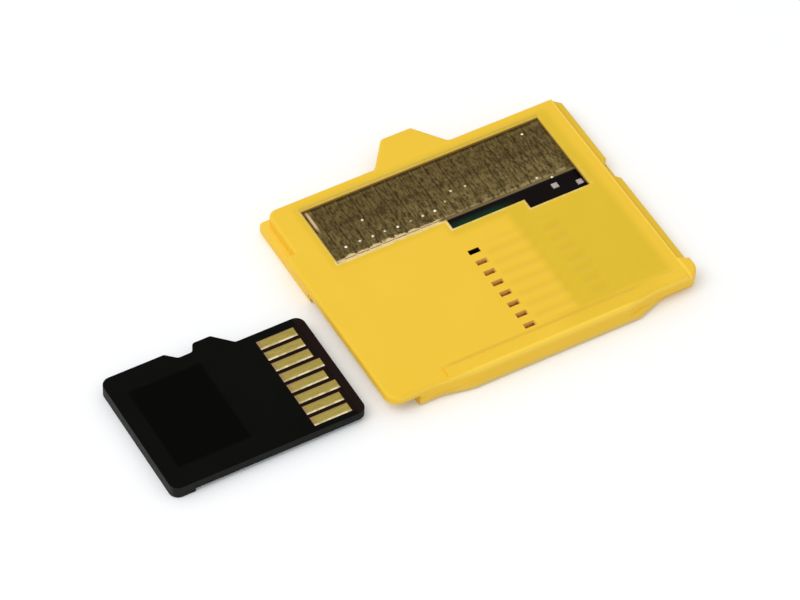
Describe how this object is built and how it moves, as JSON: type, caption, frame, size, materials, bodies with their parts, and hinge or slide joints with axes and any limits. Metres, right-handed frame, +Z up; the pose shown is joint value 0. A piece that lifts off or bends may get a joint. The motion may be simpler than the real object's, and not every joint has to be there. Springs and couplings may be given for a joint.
{
  "type": "memory card adapter",
  "caption": "Thin yellow picture-card-form adapter with a row of contacts in a stepped window, and the black micro memory card that slides into its mouth.",
  "frame": {"origin": "middle of the adapter's 25 x 20 mm outline, on its underside", "axes": "+X into the mouth, the way the micro card is pushed home; +Y towards the contact edge; +Z up, out of the contact side"},
  "size_m": [0.0414, 0.0224, 0.0019],
  "materials": {
    "yellow_shell": "satin moulded plastic",
    "board": "solder-masked glass-fibre board",
    "contact_gold": "gold plating, dark",
    "tinned_pad": "tinned",
    "spring_metal": "plated spring strip",
    "card_black": "smooth moulded plastic",
    "card_gold": "gold plating"
  },
  "bodies": {
    "adapter": {"base_shell": "yellow_shell", "contact_cover": "yellow_shell", "circuit_board": "board", "host_contact_01": "contact_gold", "host_contact_02": "contact_gold", "host_contact_03": "contact_gold", "host_contact_04": "contact_gold", "host_contact_05": "contact_gold", "host_contact_06": "contact_gold", "host_contact_07": "contact_gold", "host_contact_08": "contact_gold", "host_contact_09": "contact_gold", "host_contact_10": "contact_gold", "host_contact_11": "contact_gold", "host_contact_12": "contact_gold", "host_contact_13": "contact_gold", "host_contact_14": "contact_gold", "host_contact_15": "contact_gold", "host_contact_16": "contact_gold", "host_contact_17": "contact_gold", "host_contact_18": "contact_gold", "test_point_1": "tinned_pad", "test_point_2": "tinned_pad", "spring_contact_1": "spring_metal", "spring_contact_2": "spring_metal", "spring_contact_3": "spring_metal", "spring_contact_4": "spring_metal", "spring_contact_5": "spring_metal", "spring_contact_6": "spring_metal", "spring_contact_7": "spring_metal", "spring_contact_8": "spring_metal"},
    "micro_card": {"card_body": "card_black", "card_contact_1": "card_gold", "card_contact_2": "card_gold", "card_contact_3": "card_gold", "card_contact_4": "card_gold", "card_contact_5": "card_gold", "card_contact_6": "card_gold", "card_contact_7": "card_gold", "card_contact_8": "card_gold"}
  },
  "joints": [
    {"name": "card_slide", "type": "slide", "parent": "adapter", "child": "micro_card", "axis": [1, 0, 0], "range_m": [0, 0.01645]}
  ]
}
